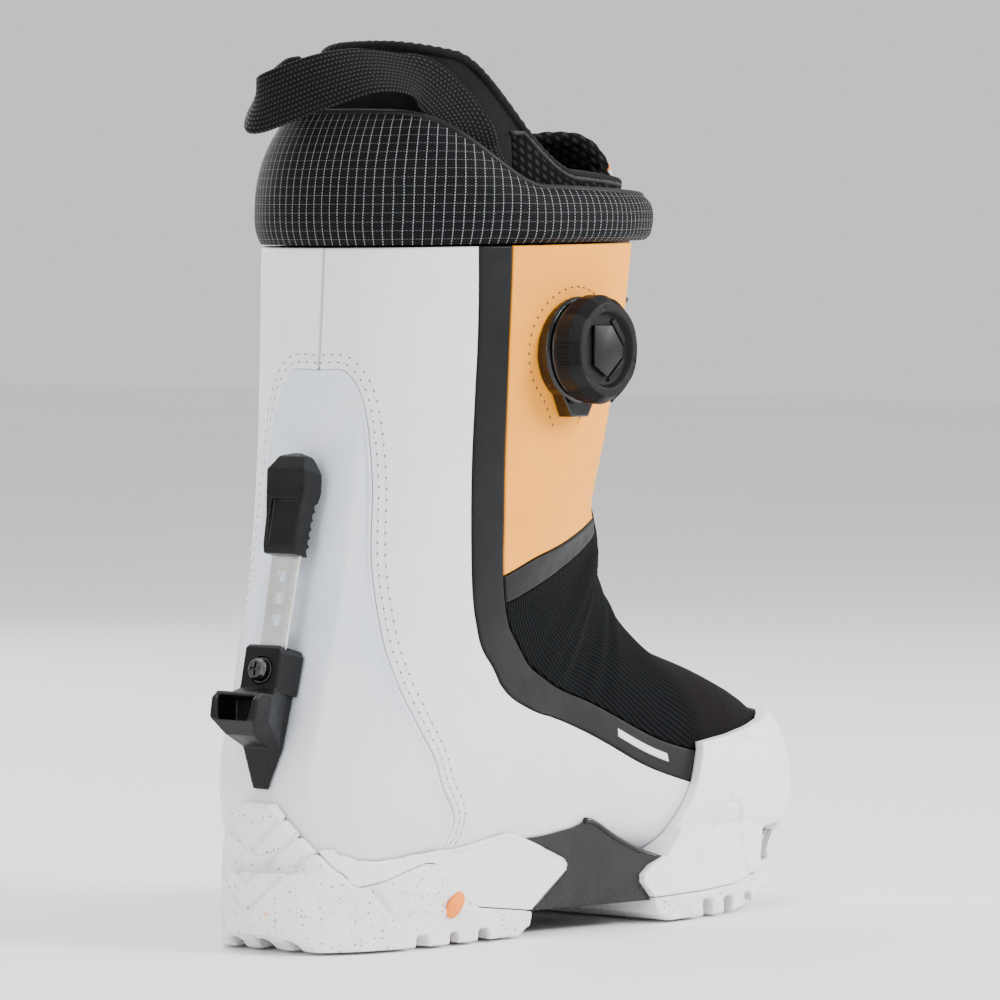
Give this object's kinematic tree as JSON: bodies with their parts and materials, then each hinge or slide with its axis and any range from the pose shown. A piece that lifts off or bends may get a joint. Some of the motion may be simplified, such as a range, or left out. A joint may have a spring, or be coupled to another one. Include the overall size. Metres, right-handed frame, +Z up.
{
  "type": "snowboard boot",
  "caption": "Right-foot snowboard boot with a dial lace closure, a step-in heel cleat with a sprung lever, toe hooks and a removable liner.",
  "frame": {"origin": "on the ground at the middle of the heel tread's flat lug", "axes": "+X towards the toe, +Y towards the inner (medial) side, +Z up"},
  "size_m": [0.3109, 0.1521, 0.3435],
  "materials": {
    "white_leather": "semi-gloss",
    "spine": "satin",
    "black_trim": "satin",
    "apricot": "matte",
    "knit": "matte",
    "ripstop": "matte",
    "webbing": "matte",
    "liner": "matte",
    "white_rubber": "matte",
    "midsole": "matte",
    "shank": "gloss",
    "black_plastic": "satin",
    "steel": "brushed",
    "board": "matte",
    "lace": "satin"
  },
  "bodies": {
    "boot": {"quarter_lateral": "white_leather", "quarter_medial": "white_leather", "heel_spine": "spine", "eyestay_band_lateral": "black_trim", "eyestay_band_medial": "black_trim", "ankle_panel_lateral": "apricot", "ankle_panel_medial": "apricot", "ankle_strap_lateral": "black_trim", "ankle_strap_medial": "black_trim", "vamp": "knit", "shell_tongue": "black_trim", "lasting_board": "board", "collar": "ripstop", "pull_loop": "webbing", "liner_cuff": "liner", "liner_heel": "liner", "liner_toe": "liner", "liner_tongue": "liner", "footbed": "board", "outsole_heel": "white_rubber", "midsole": "midsole", "arch_shank": "shank", "outsole_forefoot": "white_rubber", "toe_cap": "midsole", "toe_hook_lateral": "steel", "toe_hook_medial": "steel", "dial_base": "black_plastic", "coiler_spring": "steel", "dial_screw": "steel", "lace": "lace", "lace_guide_1": "black_plastic", "lace_guide_2": "black_plastic", "lace_guide_3": "black_plastic", "heel_cleat": "black_plastic", "cleat_washer": "steel", "cleat_screw": "steel", "nut_plate": "steel"},
    "drive": {"drive_disc": "black_plastic", "dial_spool": "black_plastic"},
    "knob": {"dial_knob": "black_plastic", "dial_cap": "black_plastic"},
    "lever": {"spring_strip": "steel", "lever_grip": "black_plastic"}
  },
  "joints": [
    {"name": "dial_turn", "type": "hinge", "parent": "boot", "child": "drive", "pos_m": [0.054, -0.066, 0.227], "axis": [0, -1, 0], "continuous": true},
    {"name": "dial_pull", "type": "slide", "parent": "drive", "child": "knob", "axis": [0, -1, 0], "range_m": [0, 0.003]},
    {"name": "lever_flex", "type": "hinge", "parent": "boot", "child": "lever", "pos_m": [-0.04962, 0, 0.11033], "axis": [0, -1, 0], "range_deg": [0, 22], "stiffness_Nm_per_rad": 1.2}
  ]
}
